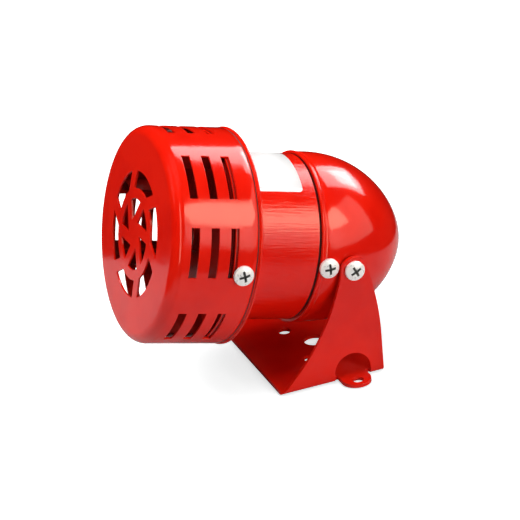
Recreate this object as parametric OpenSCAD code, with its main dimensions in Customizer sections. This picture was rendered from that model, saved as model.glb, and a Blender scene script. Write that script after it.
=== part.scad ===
// Small motor-driven alarm siren on a tilting U bracket.
// Millimetres, +Z up, front towards -Y. The origin is the bracket's centre hole, at the foot of the base.
// Head parts are drawn along the head's own axis, front to back, and on_head() places them.

/* [Front shell] */
// Outer radius of the slotted front shell
shell_r = 39.7; // [39.5:0.1:40.2]
// Distance of the shell's rear rim from the head's zero plane
shell_rear = 33.2; // [33:0.1:33.6]
// Thickness of the pressed sheet of the shell, housing, pan and cap
sheet = 0.8; // [0.7:0.1:0.9]
// Radius of the rounded corner between the front face and the side
shell_corner = 4; // [3:0.2:4.6]
// How far the front face stands forward of the head's zero plane, at its edge
face_forward = 0.4; // [0:0.1:0.6]
// How far the face bulges forward, edge to middle
face_crown = 0.7; // [0.4:0.1:1]
// Width of one sound slot, along the axis
slot_w = 3.05; // [2.5:0.05:3.2]
// Length of one sound slot, round the shell
slot_len = 18; // [14:0.5:18.5]
// Distance of the first slot from the head's zero plane
slot_start = 6; // [5.5:0.25:6.5]
// Distance from one slot to the next, along the axis
slot_pitch = 7.5; // [7:0.25:7.5]

/* [Grille] */
// Outer radius of the ring of curved openings
grille_r = 23.2; // [22:0.1:25]
// Inner radius of the ring of curved openings
grille_ring_r = 16.8; // [15:0.1:18]
// Outer radius of the inner petals
petal_r = 13; // [11:0.1:13.6]
// Radius at which a petal comes to its point
petal_tip_r = 5.2; // [4.5:0.1:7]

/* [Housing and rear cap] */
// Outer radius of the motor housing
housing_r = 30.85; // [30.8:0.05:30.9]
// Outer radius of the rear cap's straight part
cap_r = 31.7; // [31.7:0.05:31.8]
// Distance of the rear cap's rim from the head's zero plane
cap_start = 59.9; // [59:0.1:60.4]
// Radius of the rear cap's long shoulder curve
cap_shoulder_r = 39.8; // [39:0.1:40.5]
// Radius of the rear cap's nose
cap_nose_r = 22; // [18:0.5:24]

/* [Rotor] */
// Outer radius of the slotted rotor
rotor_r = 37.3; // [36.8:0.1:37.5]
// Number of rotor ribs, each hidden behind solid shell at rest
rotor_ribs = 8; // [8]

/* [Bracket] */
// Width over the two side plates
bracket_w = 67.5; // [67.2:0.1:68]
// Thickness of the bracket's sheet
bracket_t = 1.4; // [1.2:0.1:1.5]
// Height of the tilt axis above the foot
pivot_h = 43.4; // [43:0.1:46]
// Distance of the base's front edge in front of the centre hole
base_front = 27.1; // [26:0.1:28]
// Distance of the base's rear edge behind the centre hole
base_rear = 13.9; // [13:0.1:15]
// Radius of the centre hole
centre_hole_r = 4.25; // [3:0.25:4.5]
// Radius of the two side holes
side_hole_r = 2.5; // [2:0.1:3]
// Radius of the hole in each foot tab
tab_hole_r = 2.1; // [1.6:0.1:2.4]
// Nose-up angle of the head at rest
tilt = 14.4; // [0:0.1:45]

/* [Hidden] */

fine = 96;
small = 48;
eps = 0.01;
far = 100;

// Paint and metal colours
paint = [0.86, 0.10, 0.06];
steel = [0.72, 0.73, 0.75];
bright = [0.88, 0.88, 0.90];
copper = [0.72, 0.38, 0.20];
bronze = [0.70, 0.50, 0.25];

// Places along the head's axis, from its zero plane
pan_front = 23;
pan_rear = 34;
pan_r = shell_r - sheet;
pan_corner = 1.6;
housing_end = 66.4;
cap_shoulder = 65.5;
shell_screw_s = 26.7;
cap_screw_s = 63.3;
pivot_s = 72.6;
core_front = 40;
core_rear = 58;
front_plate_rear = 36.5;
rear_plate_front = 74;
rear_plate_rear = 76.5;
rotor_front = 3.2;
rotor_disc_front = 23.4;
rotor_disc_rear = 24.2;
commutator_front = 63.5;
commutator_rear = 72;
brush_s = 67.75;

// Angles round the head's axis, from +X towards the top
screw_angles = [0, 180];
pivot_angles = [0, 180];
row_angle = 31.8;
row_half_gap = 20.8;
bolt_angles = [45, 225];
brush_angles = [90, 270];

// Screws
screw_head_r = 3.7;
screw_head_h = 2.3;
screw_r = 2;
screw_fit = 0.02;
bolt_r = 1.5;
bolt_circle = 25.6;

// Shaft and bushes
shaft_r = 2.5;
shaft_fit = 0.03;
stud_r = 2;
shaft_front = 13.5;
shaft_step = 26.2;
shaft_end = 80.5;
hub_r = 6;
hub_front = 20.4;

// Motor
core_r = 28.4;
core_wall = 3.4;
core_bore = 15.6;
shoe_r = 17.6;
pole_w = 12;
armature_r = 15.1;
armature_slots = 12;
commutator_r = 8.5;
commutator_core_r = 6.2;

// Bracket
ear_r = 5;
pivot_y = 5;
pivot_hole_r = 2.06;
half_w = bracket_w / 2;
bend_r = 1.8;
side_hole_x = 13;
side_hole_y = -7.3;
arch_y = 1.6;
arch_w = 14.2;
arch_top = 10.3;
tab_w = 11.2;
tab_end = 42;
tab_hole_x = 38;
front_arc_r = 80;
rear_arc_r = 100;
rear_arc_z = 15.7;

// Moves a part drawn along the head's axis to its place on the bracket.
module on_head() {
    translate([0, pivot_y, pivot_h])
        rotate([-90 - tilt, 0, 0])
            translate([0, 0, -pivot_s])
                children();
}

// Turns a part round the head's axis, from +X towards the top.
module at_angle(angle) {
    rotate([0, 0, -angle])
        children();
}

// A tube along z from z0 to z1.
module tube(r_out, r_in, z0, z1) {
    translate([0, 0, z0])
        difference() {
            cylinder(r = r_out, h = z1 - z0, $fn = fine);
            translate([0, 0, -1])
                cylinder(r = r_in, h = z1 - z0 + 2, $fn = fine);
        }
}

// A solid round bar along z from z0 to z1.
module bar(r, z0, z1) {
    translate([0, 0, z0])
        cylinder(r = r, h = z1 - z0, $fn = small);
}

// A bar that points out along the radius at height s, from r0 to r1.
module radial_bar(r, s, r0, r1) {
    translate([r0, 0, s])
        rotate([0, 90, 0])
            cylinder(r = r, h = r1 - r0, $fn = small);
}

// A hexagon nut along z, with the distance across its flats; one flat faces +x.
module hexagon(flats, h) {
    rotate([0, 0, 30])
        cylinder(r = flats / 2 / cos(30), h = h, $fn = 6);
}

// A pan head with a cross recess, seated at z = 0 with its crown towards +z.
module pan_head() {
    crown_r = 5;
    recess_w = 1;
    recess_len = 4.4;
    recess_depth = 1.3;
    difference() {
        intersection() {
            cylinder(r = screw_head_r, h = screw_head_h, $fn = small);
            translate([0, 0, screw_head_h - crown_r])
                sphere(r = crown_r, $fn = small);
        }
        for (turn = [0, 90])
            rotate([0, 0, turn + 25])
                translate([-recess_len / 2, -recess_w / 2, screw_head_h - recess_depth])
                    cube([recess_len, recess_w, recess_depth + 1]);
    }
}

// A cross-head screw pointing in along the radius at height s: its head sits at seat_r.
module radial_screw(s, seat_r, tip_r) {
    radial_bar(screw_r, s, tip_r, seat_r + eps);
    translate([seat_r, 0, s])
        rotate([0, 90, 0])
            pan_head();
}

// Half section of a closed cup: radius r, from 0 to len, with a rounded front corner.
module cup_section(r, len, corner) {
    square([r - corner, len]);
    translate([0, corner])
        square([r, len - corner]);
    translate([r - corner, corner])
        circle(r = corner, $fn = small);
}

// Half section of the drum, taken in by inset, with a crowned face; its rear is at z = rear.
module drum_section(inset, rear) {
    edge = shell_r - shell_corner;
    front = inset - face_forward;
    steps = 6;
    translate([0, front])
        cup_section(shell_r - inset, rear - front, shell_corner - inset);
    polygon(concat(
        [for (i = [0:steps]) let (r = edge * i / steps) [r, front - face_crown * (1 - r * r / edge / edge)]],
        [[edge, front + 1], [0, front + 1]]
    ));
}

// A point at radius r and angle a.
function polar(r, a) = r * [cos(a), sin(a)];

// One curved opening of the grille's outer ring: both its ends lean the same way.
module ring_opening() {
    lead = [10, -2];
    trail = [52, 45.5];
    intersection() {
        difference() {
            circle(r = grille_r, $fn = fine);
            circle(r = grille_ring_r, $fn = fine);
        }
        polygon([
            end_point(lead, -0.4),
            end_point(lead, 1.4),
            polar(2 * grille_r, (lead[1] + trail[1]) / 2),
            end_point(trail, 1.4),
            end_point(trail, -0.4)
        ]);
    }
}

// A point on a ring opening's end line, which has its inner corner at 0 and its outer corner at 1.
function end_point(angles, along) =
    polar(grille_ring_r, angles[0]) * (1 - along) + polar(grille_r, angles[1]) * along;

// One petal: a wide outer arc and two sides that meet at a point.
module petal_opening() {
    first = -37;
    last = 5;
    tip = 11;
    intersection() {
        circle(r = petal_r, $fn = fine);
        polygon([
            polar(petal_tip_r, tip),
            polar(petal_r, first),
            polar(2 * petal_r, (first + last) / 2),
            polar(petal_r, last)
        ]);
    }
}

// The grille's openings, seen from the front with +X to the right.
module grille_openings() {
    for (turn = [0:60:300])
        rotate(turn) {
            ring_opening();
            petal_opening();
        }
}

module front_shell() {
    hem_r = 0.5;
    color(paint)
        on_head()
            difference() {
                rotate_extrude($fn = fine) {
                    difference() {
                        drum_section(0, shell_rear);
                        drum_section(sheet, shell_rear + 1);
                    }
                    translate([shell_r - hem_r / 3, shell_rear - hem_r])
                        circle(r = hem_r, $fn = small);
                }
                translate([0, 0, -face_forward - face_crown - 1])
                    linear_extrude(sheet + face_crown + 3)
                        mirror([0, 1])
                            grille_openings();
                for (pair = [0:3], side = [-1, 1], slot = [0:2])
                    at_angle(row_angle + 90 * pair + side * row_half_gap)
                        translate([shell_r - 4, -slot_len / 2, slot_start + slot * slot_pitch])
                            cube([8, slot_len, slot_w]);
                for (angle = screw_angles)
                    at_angle(angle)
                        radial_bar(screw_r + screw_fit, shell_screw_s, shell_r - 4, shell_r + 4);
            }
}

module shell_screws() {
    color(bright)
        on_head()
            for (angle = screw_angles)
                at_angle(angle)
                    radial_screw(shell_screw_s, shell_r, shell_r - 3.4);
}

module flange_pan() {
    neck_r = 8;
    color(paint)
        on_head()
            difference() {
                translate([0, 0, pan_rear])
                    mirror([0, 0, 1])
                        rotate_extrude($fn = fine)
                            difference() {
                                cup_section(pan_r, pan_rear - pan_front, pan_corner);
                                translate([0, sheet])
                                    cup_section(pan_r - sheet, pan_rear, pan_corner - sheet);
                            }
                bar(neck_r, pan_rear - 5, pan_rear + 5);
                for (angle = screw_angles)
                    at_angle(angle)
                        radial_bar(screw_r + screw_fit, shell_screw_s, pan_r - 4, pan_r + 4);
                for (angle = bolt_angles)
                    at_angle(angle)
                        translate([bolt_circle, 0, 0])
                            bar(bolt_r + screw_fit, pan_rear - 5, pan_rear + 5);
            }
}

module motor_housing() {
    color(paint)
        on_head()
            difference() {
                tube(housing_r, housing_r - sheet, pan_rear, housing_end);
                for (angle = screw_angles)
                    at_angle(angle)
                        radial_bar(screw_r + screw_fit, cap_screw_s, housing_r - 4, housing_r + 4);
            }
}

module rating_label() {
    label_t = 0.12;
    label_front = 36.5;
    label_rear = 54.3;
    label_half = 38;
    corner = 1.5;
    half_s = (label_rear - label_front) / 2 - corner;
    half_l = housing_r * sin(label_half) - corner;
    color("white")
        on_head()
            at_angle(90)
                intersection() {
                    tube(housing_r + label_t, housing_r, label_front, label_rear);
                    rotate([0, 90, 0])
                        linear_extrude(height = far)
                            translate([-(label_front + label_rear) / 2, 0]) {
                                square([2 * half_s, 2 * (half_l + corner)], center = true);
                                square([2 * (half_s + corner), 2 * half_l], center = true);
                                for (u = [-1, 1], v = [-1, 1])
                                    translate([u * half_s, v * half_l])
                                        circle(r = corner, $fn = small);
                            }
                }
}

// Half section of the rear cap: a straight skirt, a long shoulder curve and a round nose.
module cap_section(inset) {
    r = cap_r - inset;
    shoulder_r = cap_shoulder_r - inset;
    nose_r = cap_nose_r - inset;
    drop = cap_shoulder_r - cap_r;
    reach = cap_shoulder_r - cap_nose_r;
    nose_s = cap_shoulder + sqrt(reach * reach - drop * drop);
    join_s = cap_shoulder + (nose_s - cap_shoulder) * cap_shoulder_r / reach;
    translate([0, cap_start - inset])
        square([r, cap_shoulder - cap_start + inset]);
    intersection() {
        translate([-drop, cap_shoulder])
            circle(r = shoulder_r, $fn = fine);
        translate([0, cap_shoulder - eps])
            square([far, join_s - cap_shoulder + eps]);
    }
    intersection() {
        translate([0, nose_s])
            circle(r = nose_r, $fn = fine);
        translate([0, join_s - 1])
            square([far, far]);
    }
}

// The cap's pressed wall, without its holes.
module cap_wall() {
    bead_r = 0.5;
    rotate_extrude($fn = fine) {
        difference() {
            cap_section(0);
            cap_section(sheet);
        }
        translate([cap_r, cap_start + bead_r])
            circle(r = bead_r, $fn = small);
    }
}

// Place and lean of the cable inlet, under the cap.
module at_inlet() {
    inlet_s = 80;
    inlet_lean = asin((inlet_s - cap_shoulder) / cap_shoulder_r);
    inlet_r = cap_r - cap_shoulder_r + cap_shoulder_r * cos(inlet_lean);
    at_angle(270)
        translate([inlet_r, 0, inlet_s])
            rotate([0, 90 - inlet_lean, 0])
                children();
}

module rear_cap() {
    inlet_hole_r = 4;
    color(paint)
        on_head()
            difference() {
                cap_wall();
                for (angle = screw_angles)
                    at_angle(angle) {
                        radial_bar(screw_r + screw_fit, cap_screw_s, cap_r - 4, cap_r + 4);
                        radial_bar(screw_head_r + 0.1, cap_screw_s, cap_r, cap_r + 4);
                    }
                for (angle = pivot_angles)
                    at_angle(angle)
                        radial_bar(screw_r + screw_fit, pivot_s, cap_r - 4, cap_r + 4);
                at_inlet()
                    bar(inlet_hole_r, -4, 4);
            }
}

module cap_screws() {
    color(bright)
        on_head()
            for (angle = screw_angles)
                at_angle(angle)
                    radial_screw(cap_screw_s, cap_r, cap_r - 4.6);
}

module pivot_screws() {
    seat_gap = 0.06;
    color(bright)
        on_head()
            for (angle = pivot_angles)
                at_angle(angle)
                    radial_screw(pivot_s, half_w + seat_gap, cap_r - 5.4);
}

module pivot_washers() {
    washer_r = 4.4;
    ear_gap = 0.06;
    color(steel)
        on_head()
            for (angle = pivot_angles)
                at_angle(angle)
                    translate([cap_r, 0, pivot_s])
                        rotate([0, 90, 0])
                            tube(washer_r, screw_r + screw_fit, 0, half_w - bracket_t - ear_gap - cap_r);
}

module pivot_nuts() {
    nut_h = 3.2;
    nut_flats = 7;
    seat_r = cap_r - sheet - 1.7;
    color(steel)
        on_head()
            for (angle = pivot_angles)
                at_angle(angle)
                    translate([seat_r - nut_h, 0, pivot_s])
                        rotate([0, 90, 0])
                            difference() {
                                hexagon(nut_flats, nut_h);
                                bar(screw_r + screw_fit, -1, nut_h + 1);
                            }
}

module cable_grommet() {
    flange_r = 5.6;
    neck_r = 4;
    lead_hole_r = 2.3;
    flange_t = 1.6;
    color([0.12, 0.12, 0.12])
        on_head()
            difference() {
                at_inlet()
                    difference() {
                        union() {
                            bar(flange_r, -0.4, flange_t);
                            bar(neck_r, -sheet - flange_t, 1);
                            bar(flange_r, -sheet - flange_t, -sheet);
                        }
                        bar(lead_hole_r, -far / 2, far / 2);
                    }
                difference() {
                    cap_wall();
                    at_inlet()
                        bar(neck_r, -4, 4);
                }
            }
}

module motor_front_plate() {
    plate_r = 29.4;
    boss_r = 7.4;
    boss_front = 31.5;
    boss_rear = 38.5;
    vent_r = 3.6;
    vent_circle = 18.5;
    color(steel)
        on_head()
            difference() {
                union() {
                    bar(plate_r, pan_rear, front_plate_rear);
                    bar(boss_r, boss_front, boss_rear);
                }
                bar(bush_r(), boss_front - 1, boss_rear + 1);
                for (angle = bolt_angles)
                    at_angle(angle)
                        translate([bolt_circle, 0, 0])
                            bar(bolt_r + screw_fit, pan_rear - 1, front_plate_rear + 1);
                for (angle = [0:60:300])
                    at_angle(angle)
                        translate([vent_circle, 0, 0])
                            bar(vent_r, pan_rear - 1, front_plate_rear + 1);
            }
}

function bush_r() = 4.5;

// A plain bush round the shaft.
module bush(front, rear) {
    tube(bush_r(), shaft_r + shaft_fit, front, rear);
}

module front_bush() {
    color(bronze)
        on_head()
            bush(31.5, 38.5);
}

module rear_bush() {
    color(bronze)
        on_head()
            bush(rear_plate_front - 0.5, rear_plate_rear + 2.5);
}

// Stator lamination: a ring, two poles with shoes, and two bolt lugs.
module stator_outline() {
    shoe_half_angle = 52;
    lug_r = 3.1;
    difference() {
        union() {
            difference() {
                circle(r = core_r, $fn = fine);
                circle(r = core_r - core_wall, $fn = fine);
            }
            for (angle = bolt_angles)
                rotate(-angle)
                    translate([bolt_circle - 0.5, 0])
                        circle(r = lug_r, $fn = small);
            for (side = [0, 180])
                rotate(side)
                    translate([-pole_w / 2, shoe_r - 2])
                        square([pole_w, core_r - core_wall / 2 - shoe_r + 2]);
            intersection() {
                circle(r = shoe_r, $fn = fine);
                for (side = [0, 180])
                    rotate(side)
                        polygon([
                            [0, 0],
                            far * [sin(shoe_half_angle), cos(shoe_half_angle)],
                            far * [-sin(shoe_half_angle), cos(shoe_half_angle)]
                        ]);
            }
        }
        circle(r = core_bore, $fn = fine);
        for (angle = bolt_angles)
            rotate(-angle)
                translate([bolt_circle, 0])
                    circle(r = bolt_r + screw_fit, $fn = small);
    }
}

module stator_core() {
    color([0.45, 0.46, 0.50])
        on_head()
            translate([0, 0, core_front])
                linear_extrude(core_rear - core_front)
                    stator_outline();
}

module field_coils() {
    coil_w = 4.6;
    coil_out = 2.8;
    gap = 0.2;
    low = shoe_r + gap;
    high = 22.2;
    color(copper)
        on_head()
            for (side = [0, 180])
                rotate([0, 0, side])
                    difference() {
                        translate([-pole_w / 2 - coil_w, low, core_front - coil_out - gap])
                            cube([pole_w + 2 * coil_w, high - low, core_rear - core_front + 2 * (coil_out + gap)]);
                        translate([-pole_w / 2 - gap, low - 1, core_front - gap])
                            cube([pole_w + 2 * gap, high, core_rear - core_front + 2 * gap]);
                    }
}

module through_bolts() {
    bolt_head_r = 2.8;
    bolt_head_h = 1.8;
    bolt_end = rear_plate_rear + 3.4;
    color(bright)
        on_head()
            for (angle = bolt_angles)
                at_angle(angle)
                    translate([bolt_circle, 0, 0]) {
                        bar(bolt_r, pan_rear - sheet - eps, bolt_end);
                        bar(bolt_head_r, pan_rear - sheet - bolt_head_h, pan_rear - sheet);
                    }
}

module through_bolt_nuts() {
    nut_h = 2.4;
    nut_flats = 5.5;
    color(steel)
        on_head()
            for (angle = bolt_angles)
                at_angle(angle)
                    translate([bolt_circle, 0, rear_plate_rear])
                        difference() {
                            hexagon(nut_flats, nut_h);
                            bar(bolt_r + screw_fit, -1, nut_h + 1);
                        }
}

module motor_rear_plate() {
    arm_w = 11;
    boss_r = 7.4;
    color(steel)
        on_head()
            difference() {
                union() {
                    for (angle = bolt_angles)
                        at_angle(angle)
                            translate([0, -arm_w / 2, rear_plate_front])
                                cube([bolt_circle, arm_w, rear_plate_rear - rear_plate_front]);
                    for (angle = bolt_angles)
                        at_angle(angle)
                            translate([bolt_circle, 0, 0])
                                bar(3.6, rear_plate_front, rear_plate_rear);
                    for (angle = brush_angles)
                        at_angle(angle)
                            translate([0, -5, rear_plate_front])
                                cube([20, 10, rear_plate_rear - rear_plate_front]);
                    bar(boss_r, rear_plate_front, rear_plate_rear + 2.5);
                }
                bar(bush_r(), rear_plate_front - 1, rear_plate_rear + 4);
                for (angle = bolt_angles)
                    at_angle(angle)
                        translate([bolt_circle, 0, 0])
                            bar(bolt_r + screw_fit, rear_plate_front - 1, rear_plate_rear + 1);
            }
}

brush_w = 5;
brush_fit = 0.1;
holder_w = 8;
holder_in = 11;
holder_out = 22;

module brush_holders() {
    inner_w = brush_w + 2 * brush_fit;
    color([0.75, 0.60, 0.30])
        on_head()
            for (angle = brush_angles)
                at_angle(angle)
                    difference() {
                        union() {
                            translate([holder_in, -holder_w / 2, brush_s - holder_w / 2])
                                cube([holder_out - holder_in, holder_w, holder_w]);
                            translate([holder_in + 1, -holder_w / 2, brush_s + holder_w / 2 - eps])
                                cube([7, holder_w, rear_plate_front - brush_s - holder_w / 2 + eps]);
                        }
                        translate([holder_in - 1, -inner_w / 2, brush_s - inner_w / 2])
                            cube([holder_out, inner_w, inner_w]);
                    }
}

module carbon_brushes() {
    brush_end = 16.5;
    contact_gap = 0.1;
    color([0.20, 0.20, 0.22])
        on_head()
            for (angle = brush_angles)
                at_angle(angle)
                    difference() {
                        translate([commutator_r - 1, -brush_w / 2, brush_s - brush_w / 2])
                            cube([brush_end - commutator_r + 1, brush_w, brush_w]);
                        bar(commutator_r + contact_gap, brush_s - brush_w, brush_s + brush_w);
                    }
}

// A round wire wound into a helix along z, as one closed skin.
module helix(coil_r, wire_r, turns, length) {
    sides = 8;
    per_turn = 14;
    rings = turns * per_turn;
    function centre(i) = [
        coil_r * cos(360 * i / per_turn),
        coil_r * sin(360 * i / per_turn),
        length * i / rings
    ];
    function rim(i, k) =
        let (a = 360 * i / per_turn, b = 360 * k / sides)
        centre(i) + wire_r * [cos(b) * cos(a), cos(b) * sin(a), sin(b)];
    points = [for (i = [0:rings], k = [0:sides - 1]) rim(i, k)];
    walls = [
        for (i = [0:rings - 1], k = [0:sides - 1])
            let (next = (k + 1) % sides)
            [i * sides + k, (i + 1) * sides + k, (i + 1) * sides + next, i * sides + next]
    ];
    first = [for (k = [0:sides - 1]) k];
    last = [for (k = [sides - 1:-1:0]) rings * sides + k];
    polyhedron(points, concat(walls, [first, last]), convexity = 10);
}

module brush_springs() {
    wire_r = 0.22;
    spring_in = 16.5;
    spring_out = holder_out;
    color(bright)
        on_head()
            for (angle = brush_angles)
                at_angle(angle)
                    translate([spring_in + wire_r, 0, brush_s])
                        rotate([0, 90, 0])
                            helix(1.8, wire_r, 4, spring_out - spring_in - 2 * wire_r);
}

module brush_caps() {
    cap_t = 1.2;
    color([0.16, 0.14, 0.12])
        on_head()
            for (angle = brush_angles)
                at_angle(angle)
                    translate([holder_out, -holder_w / 2, brush_s - holder_w / 2])
                        cube([cap_t, holder_w, holder_w]);
}

// An insulated lead: round bars between the points of its route, joined by balls.
module lead(route, r) {
    for (i = [0:len(route) - 2])
        translate(route[i])
            rotate([0, lean(route[i + 1] - route[i]), heading(route[i + 1] - route[i])])
                cylinder(r = r, h = norm(route[i + 1] - route[i]), $fn = 24);
    for (i = [1:len(route) - 2])
        translate(route[i])
            sphere(r = 1.06 * r, $fn = 24);
}

// The two angles that turn +z towards a direction.
function lean(run) = acos(run[2] / norm(run));
function heading(run) = atan2(run[1], run[0]);

module supply_leads() {
    lead_r = 0.8;
    upper_route = [[3, -16, 76.5], [3, -16, 80], [7, -10, 84], [8, 6, 87], [4, 19, 85], [1.2, 24.4, 78.8]];
    lower_route = [[-3, 16, 76.5], [-3, 16, 79.5], [-2.6, 20, 81.5], [-1.2, 24.4, 78.8]];
    color([0.15, 0.15, 0.16])
        on_head() {
            lead(upper_route, lead_r);
            lead(lower_route, lead_r);
        }
}

module motor_shaft() {
    color(bright)
        on_head() {
            bar(shaft_r, shaft_step, shaft_end);
            bar(stud_r, shaft_front, shaft_step + eps);
        }
}

module siren_rotor() {
    wall = 0.8;
    rim_rear = 5.2;
    window_rear = 22.6;
    rib_angle = 14;
    vane_in = 29;
    vane_t = 0.8;
    color(paint)
        on_head() {
            difference() {
                union() {
                    tube(rotor_r, rotor_r - wall, rotor_front, rotor_disc_rear);
                    bar(rotor_r - wall / 2, rotor_disc_front, rotor_disc_rear);
                    bar(hub_r, hub_front, shaft_step);
                }
                bar(stud_r + screw_fit, hub_front - 1, shaft_step + 1);
                for (rib = [0:rotor_ribs - 1])
                    at_angle(row_angle + 360 / rotor_ribs * rib)
                        rotor_window(rim_rear, window_rear, 360 / rotor_ribs - rib_angle);
            }
            for (rib = [0:rotor_ribs - 1])
                at_angle(row_angle + 360 / rotor_ribs * rib)
                    translate([vane_in, -vane_t / 2, rim_rear + 1])
                        cube([rotor_r - wall / 2 - vane_in, vane_t, rotor_disc_front - rim_rear - 1 + eps]);
        }
}

// The window that follows a rotor rib: a wedge through the rotor's side wall.
module rotor_window(front, rear, opening) {
    middle = 180 / rotor_ribs;
    inner = rotor_r - 3;
    outer = rotor_r + 3;
    translate([0, 0, front])
        linear_extrude(rear - front)
            rotate(-middle)
                polygon([
                    inner * [cos(-opening / 2), sin(-opening / 2)],
                    outer * [cos(-opening / 2), sin(-opening / 2)],
                    outer * [1 / cos(opening / 2), 0],
                    outer * [cos(opening / 2), sin(opening / 2)],
                    inner * [cos(opening / 2), sin(opening / 2)]
                ]);
}

module rotor_washer() {
    color(bright)
        on_head()
            tube(5, stud_r + screw_fit, hub_front - 1, hub_front);
}

module rotor_nut() {
    nut_h = 3.2;
    nut_flats = 7;
    color(bright)
        on_head()
            translate([0, 0, hub_front - 1 - nut_h])
                difference() {
                    hexagon(nut_flats, nut_h);
                    bar(stud_r + screw_fit, -1, nut_h + 1);
                }
}

module shaft_collar() {
    color(steel)
        on_head()
            tube(4.2, shaft_r, shaft_step, 31.2);
}

// Armature lamination: a disc with keyhole slots round its edge.
module armature_outline() {
    pocket_r = 1.9;
    pocket_circle = 11.6;
    mouth_w = 1.2;
    difference() {
        circle(r = armature_r, $fn = fine);
        circle(r = shaft_r, $fn = small);
        for (slot = [0:armature_slots - 1])
            rotate(360 / armature_slots * slot) {
                translate([pocket_circle, 0])
                    circle(r = pocket_r, $fn = small);
                translate([pocket_circle, -mouth_w / 2])
                    square([armature_r, mouth_w]);
            }
    }
}

module armature_core() {
    color([0.45, 0.46, 0.50])
        on_head()
            translate([0, 0, core_front])
                linear_extrude(core_rear - core_front)
                    armature_outline();
}

module armature_windings() {
    wire_r = 1.8;
    pocket_circle = 11.6;
    end_r = 13.8;
    end_front = 39;
    end_rear = 62;
    hub = 3;
    color(copper)
        on_head() {
            tube(end_r, hub, end_front, core_front);
            tube(end_r, hub, core_rear, end_rear);
            for (slot = [0:armature_slots - 1])
                rotate([0, 0, 360 / armature_slots * slot])
                    translate([pocket_circle, 0, 0])
                        bar(wire_r, core_front - eps, core_rear + eps);
        }
}

module commutator_core() {
    color([0.35, 0.20, 0.12])
        on_head()
            tube(commutator_core_r, shaft_r, commutator_front - 0.5, commutator_rear + 0.5);
}

module commutator_segments() {
    groove = 0.5;
    color([0.80, 0.50, 0.30])
        on_head()
            difference() {
                tube(commutator_r, commutator_core_r, commutator_front, commutator_rear);
                for (slot = [0:armature_slots - 1])
                    rotate([0, 0, 360 / armature_slots * slot])
                        translate([commutator_core_r - 1, -groove / 2, commutator_front - 1])
                            cube([commutator_r, groove, commutator_rear - commutator_front + 2]);
            }
}

// Centre of a circle of radius r through two points of the side plate, on its front side.
function front_arc_centre(a, b, r) =
    let (chord = b - a, half = norm(chord) / 2, out = [-chord[1], chord[0]] / norm(chord))
    (a + b) / 2 + out * sqrt(r * r - half * half);

// Side plate, drawn with y forwards-to-back and z up as its two axes.
module side_outline() {
    foot = [-base_front, 0];
    waist = [pivot_y - ear_r, pivot_h];
    front_centre = front_arc_centre(foot, waist, front_arc_r);
    translate([-base_front, 0])
        square([base_front + base_rear, bracket_t + eps]);
    translate([pivot_y, pivot_h])
        circle(r = ear_r, $fn = small);
    intersection() {
        difference() {
            translate([-base_front, 0])
                square([base_front + base_rear, pivot_h]);
            translate(front_centre)
                circle(r = front_arc_r, $fn = fine);
        }
        union() {
            translate([-base_front, 0])
                square([base_front + base_rear, rear_arc_z]);
            translate([base_rear - rear_arc_r, rear_arc_z])
                circle(r = rear_arc_r, $fn = fine);
        }
    }
}

// Cross section of the U: base and two walls with bent corners.
module channel_section() {
    height = pivot_h + ear_r + 1;
    module solid(w, corner) {
        translate([-w + corner, 0])
            square([2 * (w - corner), height]);
        translate([-w, corner])
            square([2 * w, height - corner]);
        for (side = [-1, 1])
            translate([side * (w - corner), corner])
                circle(r = corner, $fn = small);
    }
    difference() {
        solid(half_w, bend_r);
        translate([0, bracket_t])
            solid(half_w - bracket_t, bend_r - bracket_t);
    }
}

// The arch cut in a side plate, where the foot tab was pressed out.
module arch_outline() {
    r = arch_w / 2;
    translate([arch_y - r, -1])
        square([arch_w, arch_top - r + 1]);
    translate([arch_y, arch_top - r])
        circle(r = r, $fn = small);
}

module bracket() {
    color(paint)
        difference() {
            union() {
                difference() {
                    intersection() {
                        translate([0, base_rear, 0])
                            rotate([90, 0, 0])
                                linear_extrude(base_front + base_rear)
                                    channel_section();
                        translate([-far, 0, 0])
                            rotate([90, 0, 90])
                                linear_extrude(2 * far)
                                    side_outline();
                    }
                    for (side = [0, 1])
                        mirror([side, 0, 0])
                            translate([half_w - bend_r - 0.2, 0, 0])
                                rotate([90, 0, 90])
                                    linear_extrude(far)
                                        arch_outline();
                }
                for (side = [-1, 1]) {
                    translate([side > 0 ? half_w - bend_r - 1 : -tab_end + tab_w / 2, arch_y - tab_w / 2, 0])
                        cube([tab_end - tab_w / 2 - half_w + bend_r + 1, tab_w, bracket_t]);
                    translate([side * (tab_end - tab_w / 2), arch_y, 0])
                        cylinder(r = tab_w / 2, h = bracket_t, $fn = small);
                }
            }
            translate([0, 0, -1])
                bar(centre_hole_r, 0, 4);
            for (side = [-1, 1]) {
                translate([side * side_hole_x, side_hole_y, -1])
                    bar(side_hole_r, 0, 4);
                translate([side * tab_hole_x, arch_y, -1])
                    bar(tab_hole_r, 0, 4);
                translate([side * half_w, pivot_y, pivot_h])
                    rotate([0, 90, 0])
                        translate([0, 0, -4])
                            bar(pivot_hole_r, 0, 8);
            }
        }
}

bracket();
front_shell();
shell_screws();
flange_pan();
motor_housing();
rating_label();
rear_cap();
cap_screws();
pivot_screws();
pivot_washers();
pivot_nuts();
cable_grommet();
motor_front_plate();
motor_rear_plate();
stator_core();
field_coils();
through_bolts();
through_bolt_nuts();
front_bush();
rear_bush();
brush_holders();
carbon_brushes();
brush_springs();
brush_caps();
supply_leads();
motor_shaft();
siren_rotor();
rotor_washer();
rotor_nut();
shaft_collar();
armature_core();
armature_windings();
commutator_core();
commutator_segments();
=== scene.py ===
"""Looks of a small motor siren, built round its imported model.

Lengths are millimetres, apart from those of the studio at the end, which are metres. On the head, s runs
back along its axis from just behind the drum's face, r is the distance from that axis, and turns are in
degrees from +X towards the top.
"""
import math

import bmesh
import bpy
from mathutils import Matrix, Vector


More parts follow.
